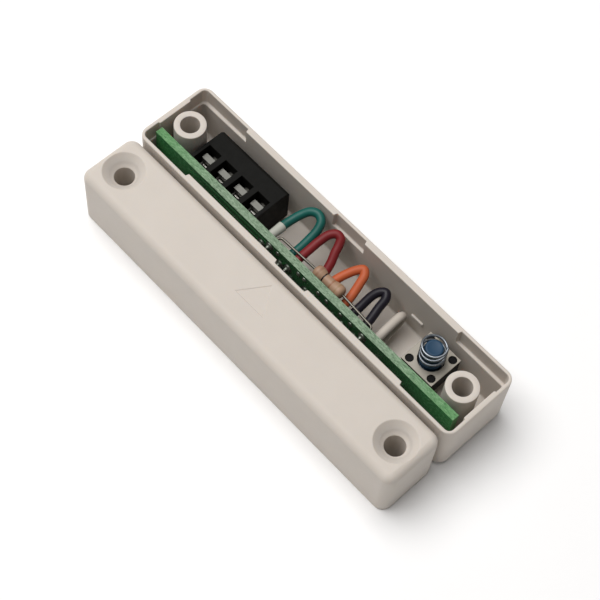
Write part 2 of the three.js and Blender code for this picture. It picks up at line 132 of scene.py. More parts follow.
def box(low, high):
    (x0, y0, z0), (x1, y1, z1) = low, high
    points = [Vector((x, y, z)) for z in (z0, z1) for y in (y0, y1) for x in (x0, x1)]
    faces = [(0, 2, 3, 1), (4, 5, 7, 6), (0, 1, 5, 4), (2, 6, 7, 3), (0, 4, 6, 2), (1, 3, 7, 5)]
    return points, faces


def moved(shape, offset, turn=None):
    points, faces = shape
    if turn is not None:
        points = [turn @ p for p in points]
    return [p + Vector(offset) for p in points], faces


def joined(*shapes):
    points, faces = [], []
    for shape_points, shape_faces in shapes:
        start = len(points)
        points += shape_points
        faces += [tuple(i + start for i in face) for face in shape_faces]
    return points, faces


def mesh_object(name, shape, sharp=SHARP):
    """A linked object made of a shape in millimetres, smooth except at edges over sharp degrees."""
    points, faces = shape
    mesh = bpy.data.meshes.new(name)
    mesh.from_pydata([Vector(p) * MM for p in points], [], faces)
    tidy = bmesh.new()
    tidy.from_mesh(mesh)
    bmesh.ops.remove_doubles(tidy, verts=tidy.verts, dist=1e-8)
    bmesh.ops.recalc_face_normals(tidy, faces=tidy.faces)
    tidy.to_mesh(mesh)
    tidy.free()
    mesh.shade_smooth()
    mesh.set_sharp_from_angle(angle=math.radians(sharp))
    thing = bpy.data.objects.new(name, mesh)
    bpy.context.scene.collection.objects.link(thing)
    return thing


def piece(name, shape, material, body, replaces=(), sharp=SHARP):
    """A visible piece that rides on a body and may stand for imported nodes."""
    thing = mesh_object(name, shape, sharp)
    thing.data.materials.append(material)
    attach(thing, body)
    if replaces:
        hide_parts(*replaces)
    return thing


def soften(thing, width, segments):
    """Rounds the sharp edges of a piece by width, in millimetres."""
    bevel = thing.modifiers.new("soft_edges", "BEVEL")
    bevel.width = width * MM
    bevel.segments = segments
    bevel.limit_method = "ANGLE"
    bevel.angle_limit = math.radians(30)


def applied(thing):
    """Replaces a piece's mesh with what its modifiers make of it."""
    bpy.context.view_layer.update()
    graph = bpy.context.evaluated_depsgraph_get()
    mesh = bpy.data.meshes.new_from_object(thing.evaluated_get(graph))
    thing.modifiers.clear()
    thing.data = mesh
    return thing


def cut(thing, shapes):
    """Cuts the shapes out of a piece."""
    for shape in shapes:
        tool = mesh_object("cutter", shape)
        boolean = thing.modifiers.new("cut", "BOOLEAN")
        boolean.operation = "DIFFERENCE"
        boolean.solver = "EXACT"
        boolean.object = tool
        applied(thing)
        bpy.data.objects.remove(tool)
    thing.data.shade_smooth()
    thing.data.set_sharp_from_angle(angle=math.radians(SHARP))
    return thing


def dress(node, material, width=0.0, segments=2):
    """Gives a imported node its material, merges its flat faces and rounds its edges a little."""
    thing = NODES[node]
    thing.data.materials.clear()
    thing.data.materials.append(material)
    weld = thing.modifiers.new("weld", "WELD")
    weld.merge_threshold = 1e-7
    flat = thing.modifiers.new("flat", "DECIMATE")
    flat.decimate_type = "DISSOLVE"
    flat.angle_limit = math.radians(1)
    if width:
        soften(thing, width, segments)


TURN_TO_X = Matrix.Rotation(math.pi / 2, 3, "Y")
TURN_TO_NEAR = Matrix.Rotation(math.pi / 2, 3, "X")


# ------------------------------------------------------------------ materials

def new_material(name):
    """A material with its node tree and its shader."""
    material = bpy.data.materials.new(name)
    material.use_nodes = True
    tree = material.node_tree
    shader = next(n for n in tree.nodes if n.type == "BSDF_PRINCIPLED")
    return material, tree, shader


def node(tree, kind, **values):
    made = tree.nodes.new(kind)
    for key, value in values.items():
        setattr(made, key, value)
    return made


def place(tree, stretch=(1, 1, 1)):
    """Object coordinates in millimetres, stretched along each axis."""
    coordinates = node(tree, "ShaderNodeTexCoord")
    mapping = node(tree, "ShaderNodeMapping")
    mapping.inputs["Scale"].default_value = [s / MM for s in stretch]
    tree.links.new(coordinates.outputs["Object"], mapping.inputs["Vector"])
    return mapping.outputs["Vector"]


def noise(tree, where, scale, detail=4.0, roughness=0.55):
    made = node(tree, "ShaderNodeTexNoise")
    made.inputs["Scale"].default_value = scale
    made.inputs["Detail"].default_value = detail
    made.inputs["Roughness"].default_value = roughness
    tree.links.new(where, made.inputs["Vector"])
    return made.outputs["Fac"]


def ramp(tree, source, stops, interpolation="LINEAR"):
    """A colour ramp; each stop is a position with a colour or a grey."""
    made = node(tree, "ShaderNodeValToRGB")
    made.color_ramp.interpolation = interpolation
    elements = made.color_ramp.elements
    while len(elements) < len(stops):
        elements.new(0.5)
    for element, (position, colour) in zip(elements, stops):
        element.position = position
        if isinstance(colour, (int, float)):
            colour = (colour, colour, colour)
        element.color = (*colour, 1)
    tree.links.new(source, made.inputs["Fac"])
    return made.outputs["Color"]


def mix(tree, factor, first, second, mode="MIX"):
    made = node(tree, "ShaderNodeMix", data_type="RGBA", blend_type=mode)
    for socket, value in ((made.inputs[0], factor), (made.inputs[6], first), (made.inputs[7], second)):
        if isinstance(value, (int, float)):
            socket.default_value = value
        elif isinstance(value, (tuple, list)):
            socket.default_value = (*value, 1)
        else:
            tree.links.new(value, socket)
    return made.outputs[2]


def bump(tree, shader, height, strength, distance):
    made = node(tree, "ShaderNodeBump")
    made.inputs["Strength"].default_value = strength
    made.inputs["Distance"].default_value = distance * MM
    tree.links.new(height, made.inputs["Height"])
    tree.links.new(made.outputs["Normal"], shader.inputs["Normal"])


def rgb(red, green, blue):
    """An sRGB colour, each channel out of 255, in linear light."""
    def linear(value):
        value /= 255
        return value / 12.92 if value <= 0.04045 else ((value + 0.055) / 1.055) ** 2.4
    return tuple(linear(v) for v in (red, green, blue))


def shade(colour, factor):
    return tuple(c * factor for c in colour)


def plastic(name, colour, rough, grain=0.0, mottle=0.05, grain_size=0.25, subsurface=0.0, specular=0.45):
    """Moulded plastic: faint colour patches, uneven gloss and a fine surface grain."""
    material, tree, shader = new_material(name)
    where = place(tree)
    patches = noise(tree, where, 0.22, 5)
    colours = ramp(tree, patches, [(0.3, shade(colour, 1 - mottle)), (0.7, shade(colour, 1 + mottle))])
    tree.links.new(colours, shader.inputs["Base Color"])
    wear = noise(tree, where, 0.9, 6)
    tree.links.new(ramp(tree, wear, [(0.3, rough - 0.05), (0.7, rough + 0.05)]), shader.inputs["Roughness"])
    if grain:
        bump(tree, shader, noise(tree, where, 1 / grain_size, 3), grain, 0.02)
    shader.inputs["Specular IOR Level"].default_value = specular
    if subsurface:
        shader.inputs["Subsurface Weight"].default_value = subsurface
        shader.inputs["Subsurface Radius"].default_value = (0.0012, 0.0009, 0.0006)
        shader.inputs["Subsurface Scale"].default_value = 1.0
    return material


def metal(name, colour, rough, brushed=None, dents=0.0):
    """Metal with streaks, stretched where it is brushed, and shallow dents."""
    material, tree, shader = new_material(name)
    where = place(tree, stretch=brushed or (1, 1, 1))
    streaks = noise(tree, where, 3.0 if brushed else 1.3, 6, 0.6)
    colours = ramp(tree, streaks, [(0.25, shade(colour, 0.82)), (0.75, shade(colour, 1.08))])
    tree.links.new(colours, shader.inputs["Base Color"])
    gloss = ramp(tree, streaks, [(0.3, rough - 0.07), (0.7, rough + 0.09)])
    tree.links.new(gloss, shader.inputs["Roughness"])
    shader.inputs["Metallic"].default_value = 1.0
    bump(tree, shader, streaks, 0.25 if brushed else dents, 0.012)
    return material


HOUSING = plastic("housing_plastic", rgb(203, 195, 186), 0.55, grain=0.14, mottle=0.015, grain_size=0.22,
                  specular=0.22, subsurface=0.15)
TERMINAL_BLACK = plastic("terminal_plastic", rgb(17, 17, 15), 0.6, grain=0.2, mottle=0.12, grain_size=0.3,
                         specular=0.1)
SWITCH_BLACK = plastic("switch_plastic", rgb(16, 15, 15), 0.6, grain=0.15, mottle=0.12, specular=0.12)
TERMINAL_METAL = metal("terminal_metal", rgb(116, 116, 111), 0.5, dents=0.6)
SCREW_METAL = metal("screw_metal", rgb(92, 91, 86), 0.5, dents=0.3)
TINNED = metal("tinned_metal", rgb(170, 168, 162), 0.32, dents=0.2)
LEAD_WIRE = metal("lead_wire", rgb(118, 114, 106), 0.44, dents=0.2)
SPRING_STEEL = metal("spring_steel", rgb(140, 146, 152), 0.36, dents=0.05)
SWITCH_PLATE = metal("switch_plate", rgb(168, 163, 153), 0.62, brushed=(9, 0.8, 9))
FERRITE = plastic("ferrite", rgb(62, 62, 66), 0.62, grain=0.5, mottle=0.15, grain_size=0.15)
SLEEVE_GREY = plastic("insulation_grey", rgb(176, 177, 167), 0.5, mottle=0.06, grain=0.08, specular=0.25)

INSULATION = {
    "green": plastic("insulation_green", rgb(18, 86, 78), 0.45, mottle=0.1, grain=0.05, specular=0.3),
    "red": plastic("insulation_red", rgb(116, 30, 33), 0.5, mottle=0.1, grain=0.05, specular=0.28),
    "orange": plastic("insulation_orange", rgb(182, 89, 52), 0.5, mottle=0.07, grain=0.05, specular=0.28),
    "violet": plastic("insulation_violet", rgb(27, 24, 33), 0.42, mottle=0.1, grain=0.05, specular=0.25),
    "white": plastic("insulation_white", rgb(188, 180, 170), 0.5, mottle=0.04, grain=0.05, specular=0.25),
}


def along_x(tree):
    """The place along X, in metres."""
    coordinates = node(tree, "ShaderNodeTexCoord")
    split = node(tree, "ShaderNodeSeparateXYZ")
    tree.links.new(coordinates.outputs["Object"], split.inputs[0])
    return split.outputs["X"]


def near_ends(tree):
    """How near a place is to either end of the board, from 0 at 17 mm off the middle to 1 at 29 mm; it places
    the painted highlight at the board's ends.
    """
    away = node(tree, "ShaderNodeMath", operation="ABSOLUTE")
    tree.links.new(along_x(tree), away.inputs[0])
    share = node(tree, "ShaderNodeMapRange")
    share.inputs["From Min"].default_value = 17 * MM
    share.inputs["From Max"].default_value = 29 * MM
    tree.links.new(away.outputs[0], share.inputs["Value"])
    return share.outputs[0]


def board_material():
    """Green solder mask on the two faces, and cut glass fibre on the edges and in the holes, both with a
    painted highlight that lightens them towards the board's ends.
    """
    material, tree, shader = new_material("board_laminate")
    geometry = node(tree, "ShaderNodeNewGeometry")
    split = node(tree, "ShaderNodeSeparateXYZ")
    tree.links.new(geometry.outputs["Normal"], split.inputs[0])
    size = node(tree, "ShaderNodeMath", operation="ABSOLUTE")
    tree.links.new(split.outputs["Y"], size.inputs[0])
    face = node(tree, "ShaderNodeMath", operation="GREATER_THAN")
    face.inputs[1].default_value = 0.6
    tree.links.new(size.outputs[0], face.inputs[0])
    where = place(tree)
    fibres = noise(tree, place(tree, stretch=(2.2, 9, 5)), 1.0, 7, 0.75)
    cut_edge = ramp(tree, fibres, [(0.34, rgb(44, 66, 42)), (0.47, rgb(106, 130, 104)),
                                   (0.62, rgb(148, 170, 144))])
    # Painted highlight: a lighter copy of the cut-edge colours, blended in towards both ends of the board
    # where more light falls on it.
    lit_end_edge = ramp(tree, fibres, [(0.34, rgb(30, 80, 36)), (0.48, rgb(78, 134, 78)),
                                    (0.64, rgb(124, 166, 120))])
    cut_edge = mix(tree, near_ends(tree), cut_edge, lit_end_edge)
    speckle = noise(tree, place(tree, stretch=(2.4, 2.4, 2.4)), 1.0, 6, 0.7)
    mask = ramp(tree, speckle, [(0.3, rgb(18, 62, 32)), (0.55, rgb(34, 92, 50)), (0.72, rgb(64, 122, 78))])
    # Painted highlight: a lighter copy of the solder-mask colours, blended in towards both ends of the board
    # where more light falls on it.
    lit_end_mask = ramp(tree, speckle, [(0.3, rgb(34, 100, 50)), (0.55, rgb(66, 146, 84)),
                                     (0.72, rgb(120, 182, 128))])
    mask = mix(tree, near_ends(tree), mask, lit_end_mask)
    tree.links.new(mix(tree, face.outputs[0], cut_edge, mask), shader.inputs["Base Color"])
    gloss = mix(tree, face.outputs[0], (0.7, 0.7, 0.7), (0.25, 0.25, 0.25))
    tree.links.new(gloss, shader.inputs["Roughness"])
    bump(tree, shader, fibres, 0.25, 0.03)
    return material


def banded(name, ground, bands, start, end, rough=0.45):
    """A lacquered body with painted rings along X; bands are (from, to, colour) as shares of it."""
    material, tree, shader = new_material(name)
    along = node(tree, "ShaderNodeMapRange")
    along.inputs["From Min"].default_value = start * MM
    along.inputs["From Max"].default_value = end * MM
    tree.links.new(along_x(tree), along.inputs["Value"])
    wobble = noise(tree, place(tree), 1.6, 2)
    shifted = node(tree, "ShaderNodeMath", operation="MULTIPLY_ADD")
    tree.links.new(wobble, shifted.inputs[0])
    shifted.inputs[1].default_value = 0.02
    tree.links.new(along.outputs[0], shifted.inputs[2])
    stops = [(0.0, ground)]
    for low, high, colour in bands:
        stops += [(low, colour), (high, ground)]
    rings = ramp(tree, shifted.outputs[0], stops, "CONSTANT")
    dust = ramp(tree, noise(tree, place(tree), 0.8, 5), [(0.3, 0.88), (0.7, 1.0)])
    tree.links.new(mix(tree, 1.0, rings, dust, "MULTIPLY"), shader.inputs["Base Color"])
    shader.inputs["Roughness"].default_value = rough
    shader.inputs["Specular IOR Level"].default_value = 0.35
    bump(tree, shader, wobble, 0.15, 0.05)
    return material


def glass_material():
    material, tree, shader = new_material("reed_glass")
    where = place(tree)
    tint = ramp(tree, noise(tree, where, 0.4, 3), [(0.3, (0.80, 0.92, 0.84)), (0.7, (0.88, 0.97, 0.90))])
    tree.links.new(tint, shader.inputs["Base Color"])
    shader.inputs["Transmission Weight"].default_value = 0.92
    shader.inputs["IOR"].default_value = 1.48
    shader.inputs["Roughness"].default_value = 0.04
    bump(tree, shader, noise(tree, where, 0.8, 2), 0.08, 0.05)
    return material


BOARD_GREEN = board_material()
TRACK_GREEN = plastic("board_tracks", rgb(40, 102, 54), 0.4, mottle=0.1, specular=0.35)
SOLDER = metal("solder", rgb(128, 136, 126), 0.42, dents=0.35)
CHIP_BLACK = plastic("chip_body", rgb(24, 24, 24), 0.4, mottle=0.1, specular=0.3)
GLASS = glass_material()
PLUNGER_BLUE = plastic("plunger_plastic", rgb(34, 66, 92), 0.55, mottle=0.08, grain=0.06, specular=0.3)


# ------------------------------------------------------------------ housings

def stations(steps_x, steps_y, arc=8):
    """Places round a rounded rectangle, anticlockwise: (side or corner, position or angle, thin)."""
    found = []
    for side, steps in enumerate((steps_y, steps_x, steps_y, steps_x)):
        forward = side in (0, 3)
        ordered = sorted(steps, key=lambda step: step[0], reverse=not forward)
        found += [("side", side, where, thin) for where, thin in ordered]
        found += [("corner", side, side * 90 + 90 * k / arc, True) for k in range(arc + 1)]
    return found


def outline(places, thick, z, thin=None):
    """Points of a rounded rectangle (half length, half width, radius) at height z."""
    ring = []
    for kind, side, where, is_thin in places:
        half_x, half_y, radius = thin if thin and is_thin else thick
        if kind == "corner":
            sx = 1 if side in (0, 3) else -1
            sy = 1 if side in (0, 1) else -1
            angle = math.radians(where)
            ring.append(Vector((sx * (half_x - radius) + radius * math.cos(angle),
                                sy * (half_y - radius) + radius * math.sin(angle), z)))
        else:
            x, y = ((half_x, where), (where, half_y), (-half_x, where), (where, -half_y))[side]
            ring.append(Vector((x, y, z)))
    return ring


def grown(size, by):
    return size[0] + by, size[1] + by, max(size[2] + by, 0.05)


def quarter(radius, steps):
    """(inset, rise) pairs round a quarter circle, from lying flat to standing up."""
    angles = [math.pi / 2 * k / steps for k in range(steps + 1)]
    return [(radius * (1 - math.sin(a)), radius * (1 - math.cos(a))) for a in angles]


SENSOR_BORE = 1.45
MAGNET_BORE = 1.55
SENSOR_PILLARS = [(x - 0.15, 0.2, 0) for x in (-28, 28)]


def sensor_housing():
    outer, height, edge = (32.0, 6.6, 1.6), 11.2, 1.2
    inner, seat, floor, ledge = (31.15, 5.5, 0.6), (31.425, 6.05, 0.8), 1.2, 8.4
    slope = 0.1
    steps_x = [(s * x + d, thin) for s in (-1, 1)
               for x, d, thin in ((21.9, s * slope, True), (21.9, -s * slope, False),
                                  (3.1, s * slope, False), (3.1, -s * slope, True))]
    steps_y = [(s * 3.0 + d, thin) for s in (-1, 1) for d, thin in ((s * slope, True), (-s * slope, False))]
    places = stations(steps_x, steps_y)
    rings = [outline(places, grown(outer, -inset), rise) for inset, rise in quarter(edge, 7)]
    rings += [outline(places, grown(outer, rise), height - inset)
              for inset, rise in [(i, -r) for i, r in quarter(0.22, 4)]]
    for inset, rise in quarter(0.14, 3)[::-1]:
        rings.append(outline(places, grown(inner, rise), height - inset, grown(seat, rise)))
    rings.append(outline(places, inner, ledge + 0.25, seat))
    rings.append(outline(places, inner, ledge + 0.08, grown(seat, -0.08)))
    rings.append(outline(places, inner, ledge, grown(seat, -0.25)))
    rings.append(outline(places, inner, ledge - 0.02, grown(inner, 0.1)))
    rings.append(outline(places, inner, ledge - 0.12))
    rings += [outline(places, grown(inner, -inset), floor + rise) for inset, rise in quarter(0.35, 3)[::-1]]
    shell = mesh_object("sensor_shell", loft(rings))
    cut(shell, [moved(countersink(SENSOR_BORE), place) for place in SENSOR_PILLARS])
    return shell


def countersink(bore, length=40.0):
    """The room for a countersunk screw, from below its mouth at z = 0 up."""
    profile = [(0, -1), (3.6, -1), (3.6, -0.12), (3.32, -0.02), (3.2, 0.03), (3.08, 0.1),
               (bore + 0.05, 3.1 - bore), (bore + 0.01, 3.15 - bore), (bore, 3.25 - bore), (bore, length),
               (0, length)]
    return lathe(profile, 48)


def pillar(radius, bore, low, top, foot):
    """A screw pillar round its bore: low is where it grows out of the wall, foot its root's flare."""
    mouth = lambda z: max(bore, 3.15 - z)
    profile = [(bore, top - 0.16), (bore + 0.05, top - 0.05), (bore + 0.16, top), (radius - 0.16, top),
               (radius - 0.05, top - 0.05), (radius, top - 0.16), (radius + 0.02, low + foot),
               (radius + 0.1 * foot, low + 0.45 * foot), (radius + 0.35 * foot, low + 0.15 * foot),
               (radius + foot, low), (radius + foot, low - 0.3), (mouth(low - 0.3), low - 0.3)]
    profile += [(mouth(z), z) for z in (1.5, 1.6)] if low < 1.6 else []
    return lathe(profile, 48, loop=True)


def shell_of_sensor():
    shell = sensor_housing()
    extras = [moved(pillar(2.45, SENSOR_BORE, 1.2, 11.1, 0.4), place) for place in SENSOR_PILLARS]
    extras += [rib((x - 0.5, -5.7, 1), (x + 0.5, -4.35, 4)) for x in (-15, 15)]
    extras += [rib((x - 1, -2.55, 1), (x + 1, -1.9, 2.2)) for x in (-7.6, 15.8)]
    extras.append(rib((13.8, 5.2, 4.8), (16.05, 5.7, 5.3)))
    fittings = mesh_object("sensor_fittings", joined(*extras))
    return finish_housing("sensor_housing_detail", [shell, fittings], "sensor_case", SENSOR, "sensor_housing")


def rib(low, high, bevel=0.08):
    """A moulded rib: a block whose edges along Z and at its top are eased."""
    (x0, y0, z0), (x1, y1, z1) = low, high
    def level(inset, z):
        a, b, c, d, k = x0 + inset, x1 - inset, y0 + inset, y1 - inset, bevel
        return [Vector((x, y, z)) for x, y in ((a + k, c), (b - k, c), (b, c + k), (b, d - k),
                                               (b - k, d), (a + k, d), (a, d - k), (a, c + k))]
    return loft([level(0, z0), level(0, z1 - bevel), level(bevel * 0.3, z1 - bevel * 0.3), level(bevel, z1)])


def finish_housing(name, parts, body, offset, node_name):
    """Joins a housing's parts into one piece and puts it in its place."""
    things = bmesh.new()
    for part in parts:
        things.from_mesh(part.data)
    mesh = bpy.data.meshes.new(name)
    things.to_mesh(mesh)
    things.free()
    for part in parts:
        bpy.data.objects.remove(part)
    mesh.transform(Matrix.Translation(offset * MM))
    mesh.shade_smooth()
    mesh.set_sharp_from_angle(angle=math.radians(32))
    mesh.materials.clear()
    mesh.materials.append(HOUSING)
    thing = bpy.data.objects.new(name, mesh)
    bpy.context.scene.collection.objects.link(thing)
    flats = thing.modifiers.new("even_flats", "WEIGHTED_NORMAL")
    flats.keep_sharp = True
    flats.weight = 100
    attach(thing, body)
    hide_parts(node_name)
    return thing


def magnet_housing():
    outer, height, edge = (32.0, 5.05, 1.6), 10.9, 1.3
    inner, roof = (30.8, 3.85, 0.6), 9.7
    places = stations([], [])
    rings = [outline(places, grown(inner, -inset), roof - rise) for inset, rise in quarter(0.35, 3)]
    rings += [outline(places, grown(inner, rise), inset) for inset, rise in quarter(0.14, 3)[::-1]][::-1]
    rings += [outline(places, grown(outer, -inset), rise) for inset, rise in quarter(0.18, 3)]
    rings += [outline(places, grown(outer, -inset), height - rise) for inset, rise in quarter(edge, 8)[::-1]]
    shell = mesh_object("magnet_shell", loft(rings))
    flip = Matrix.Rotation(math.pi, 3, "X")
    mark = moved(alignment_mark(), (0, 0, height))
    cut(shell, [moved(countersink(MAGNET_BORE), (x, 0, height), flip) for x in (-28, 28)] + [mark])
    low = height - roof
    pillars = [moved(pillar(2.7, MAGNET_BORE, low, height, 0.3), (x, 0, height), flip) for x in (-28, 28)]
    ribs = [rib((x - 0.5, min(a, b), -roof - 0.2), (x + 0.5, max(a, b), -4.6))
            for x in (-15, -5, 5, 15) for a, b in ((3.1, 4.05), (-3.1, -4.05))]
    ribs = [moved(r, (0, 0, 0), flip) for r in ribs]
    fittings = mesh_object("magnet_fittings", joined(*pillars, *ribs))
    return finish_housing("magnet_housing_detail", [shell, fittings], "magnet_unit", MAGNET, "magnet_housing")


def alignment_mark(depth=0.07, draft=0.12):
    """A shallow triangle, pressed in, with its tip towards the other unit."""
    corners = [Vector((-3.1, -1, 0)), Vector((2.7, -1, 0)), Vector((-0.2, 3.5, 0))]
    centre = sum(corners, Vector()) / 3
    def level(share, z):
        return [centre + (c - centre) * share + Vector((0, 0, z)) for c in corners]
    return loft([level(1 - draft / 2, -depth), level(1, 0), level(1 + draft * 2, 0.3)])


# ------------------------------------------------------------------ board and wiring

def through_curve(points, steps):
    """A smooth curve through points, with centripetal spacing."""
    points = [Vector(p) for p in points]
    padded = [2 * points[0] - points[1], *points, 2 * points[-1] - points[-2]]
    path = []
    for i in range(len(points) - 1):
        p0, p1, p2, p3 = padded[i:i + 4]
        t0 = 0.0
        t1 = t0 + (p1 - p0).length ** 0.5
        t2 = t1 + (p2 - p1).length ** 0.5
        t3 = t2 + (p3 - p2).length ** 0.5
        for k in range(steps):
            t = t1 + (t2 - t1) * k / steps
            a1 = (t1 - t) / (t1 - t0) * p0 + (t - t0) / (t1 - t0) * p1
            a2 = (t2 - t) / (t2 - t1) * p1 + (t - t1) / (t2 - t1) * p2
            a3 = (t3 - t) / (t3 - t2) * p2 + (t - t2) / (t3 - t2) * p3
            b1 = (t2 - t) / (t2 - t0) * a1 + (t - t0) / (t2 - t0) * a2
            b2 = (t3 - t) / (t3 - t1) * a2 + (t - t1) / (t3 - t1) * a3
            path.append((t2 - t) / (t2 - t1) * b1 + (t - t1) / (t2 - t1) * b2)
    return path + [points[-1]]


LINKS = {
    "green": [(-7.85, 0.25, 8.1), (-7.75, 1.2, 8.2), (-7.25, 3, 8.75), (-6.45, 4.25, 9.3), (-5.35, 4.7, 9.45),
              (-4.3, 4.25, 9.3), (-3.8, 3.1, 8.8), (-3.7, 1, 8), (-3.75, -0.6, 7.5), (-3.9, -2.6, 7.3)],
    "red": [(-2.3, -2.6, 8.2), (-2.3, -0.4, 8.5), (-2.2, 2, 9), (-1.9, 3.5, 9.4), (-1.2, 4.35, 9.6),
            (-0.35, 4.35, 9.4), (0.1, 3.6, 8.95), (0.45, 2.6, 8.5), (1.05, 1.2, 7.8), (1.4, -0.4, 7.1),
            (1.45, -2.6, 6.7)],
    "orange": [(3.1, -2.6, 7), (3.2, -0.6, 7.2), (3.55, 1.2, 7.5), (4.35, 3.3, 7.8), (5, 4, 7.95),
               (5.65, 3.5, 7.85), (6.15, 2, 7.6), (6.65, 0.2, 7.4), (6.85, -1, 7.2), (6.95, -2.6, 7)],
    "violet": [(8.9, -2.6, 7.2), (8.75, -0.2, 7.4), (8.65, 2.3, 7.5), (9, 3.4, 7.6), (9.65, 3.9, 7.65),
               (10.25, 3.3, 7.55), (10.6, 1.6, 7.4), (11.1, -0.6, 7.2), (11.4, -2.6, 7.1)],
    "white": [(13.5, -2.6, 5.8), (13.35, -0.6, 5.7), (13.15, 2.4, 5.6), (13.05, 3.8, 5.3), (13, 4.4, 4.5),
              (13.05, 3.8, 3.7), (13.15, 2.4, 3.3), (13.25, -0.6, 3.2), (13.3, -2.6, 3.2)],
}
FAR_FACE, NEAR_FACE, TAIL_END = -2.85, -4.05, -4.9  # the board's faces, and where bare tails end
LEAD, JACKET = 0.2, 0.68  # radii of a bare lead and of a link's insulation


def tail(x, z, start):
    return sweep([(x, start, z), (x, TAIL_END + 0.1, z)], LEAD, 14, bevel=0.1)


def wire_links():
    for colour, points in LINKS.items():
        path = through_curve(points, 9)
        jacket = moved(sweep(path, JACKET, 24, bevel=0.09), SENSOR)
        piece(f"link_{colour}", jacket, INSULATION[colour], BOARD,
              [f"link_wire_{colour}"])
        ends = [tail(x, z, y + 0.3) for x, y, z in (points[0], points[-1])]
        piece(f"link_{colour}_tails", moved(joined(*ends), SENSOR), TINNED, BOARD)
    x, _, z = LINKS["green"][0]
    profile = [(0.4, 2.7), (0.62, 2.7), (0.68, 2.62), (0.72, 1.2), (0.77, 0.1), (0.78, -0.02), (0.73, -0.1),
               (0.4, -0.1)]
    tube = moved(lathe(profile, 32, loop=True), Vector((x, 0, z)) + SENSOR, TURN_TO_NEAR)
    piece("link_sleeve_tube", tube, SLEEVE_GREY, BOARD, ["link_sleeve"])


def bend(start, corner, end, radius=0.6, steps=8):
    """A path from start to end that goes round a corner with a fillet."""
    start, corner, end = Vector(start), Vector(corner), Vector(end)
    into, out = (corner - start).normalized(), (end - corner).normalized()
    a, b = corner - into * radius, corner + out * radius
    shares = [k / steps for k in range(steps + 1)]
    curve = [(1 - t) ** 2 * a + 2 * t * (1 - t) * corner + t * t * b for t in shares]
    return [start, *curve, end]


RESISTOR = {"middle": 3.6, "half": 2.8, "y": -1.65, "z": 9.25}
RESISTOR_BENDS = {"left": (-6.2, -1.9, 9.35), "right": (12.8, -2, 9.15)}


def resistor():
    mid, half, y, z = (RESISTOR[k] for k in ("middle", "half", "y", "z"))
    tip = [(0.0, 2.8), (0.3, 2.79), (0.62, 2.74), (0.86, 2.6), (1.0, 2.42), (1.07, 2.2), (1.08, 1.95)]
    left = [(1.05, -1.7), (1.0, -1.45), (0.92, -1.2), (0.82, -0.98), (0.78, -0.8), (0.78, -0.7),
            (0.82, -0.55)]
    right = [(0.82, 0.4), (0.84, 0.7), (0.92, 0.95), (1.0, 1.25), (1.05, 1.6)]
    profile = [(r, -h) for r, h in tip] + left + right + tip[::-1]
    body = moved(lathe(profile, 40), Vector((mid, y, z)) + SENSOR, TURN_TO_X)
    bands = [(0.15, 0.21, rgb(150, 116, 92)), (0.335, 0.375, rgb(34, 20, 14)), (0.6, 0.65, rgb(150, 108, 82)),
             (0.8, 0.84, rgb(152, 124, 94))]
    start, end = SENSOR.x + mid - half, SENSOR.x + mid + half
    paint = banded("resistor_coating", rgb(162, 130, 106), bands, start, end)
    piece("resistor_detail", body, paint, BOARD, ["resistor_body"])
    for side, corner in RESISTOR_BENDS.items():
        start = (mid + math.copysign(half + 0.02, corner[0]), y, z)
        path = bend(start, corner, (corner[0], TAIL_END + 0.1, corner[2]))
        lead = moved(sweep(path, LEAD, 16, bevel=0.1), SENSOR)
        piece(f"resistor_{side}_wire", lead, LEAD_WIRE, BOARD, [f"resistor_lead_{side}"])


def reed():
    mid, y, z, half, bore = 1.8, -1.2, 3.2, 7.0, 0.85
    outer = [(0.42, -half), (0.56, -half + 0.02), (0.72, -half + 0.12), (0.9, -half + 0.35),
             (1.03, -half + 0.65), (1.1, -half + 1.0)]
    inner = [(0.42, half - 0.8), (0.6, half - 0.95), (0.78, half - 1.15), (bore, half - 1.45)]
    flip = lambda points: [(r, -h) for r, h in points][::-1]
    tube = lathe([*outer, *flip(outer), *inner, *flip(inner)], 32, loop=True)
    piece("reed_tube", moved(tube, Vector((mid, y, z)) + SENSOR, TURN_TO_X), GLASS, BOARD,
          ["reed_glass"])
    dress("reed_lead_left", TINNED)
    dress("reed_lead_right", TINNED)
    dress("reed_blade_moving", TINNED)


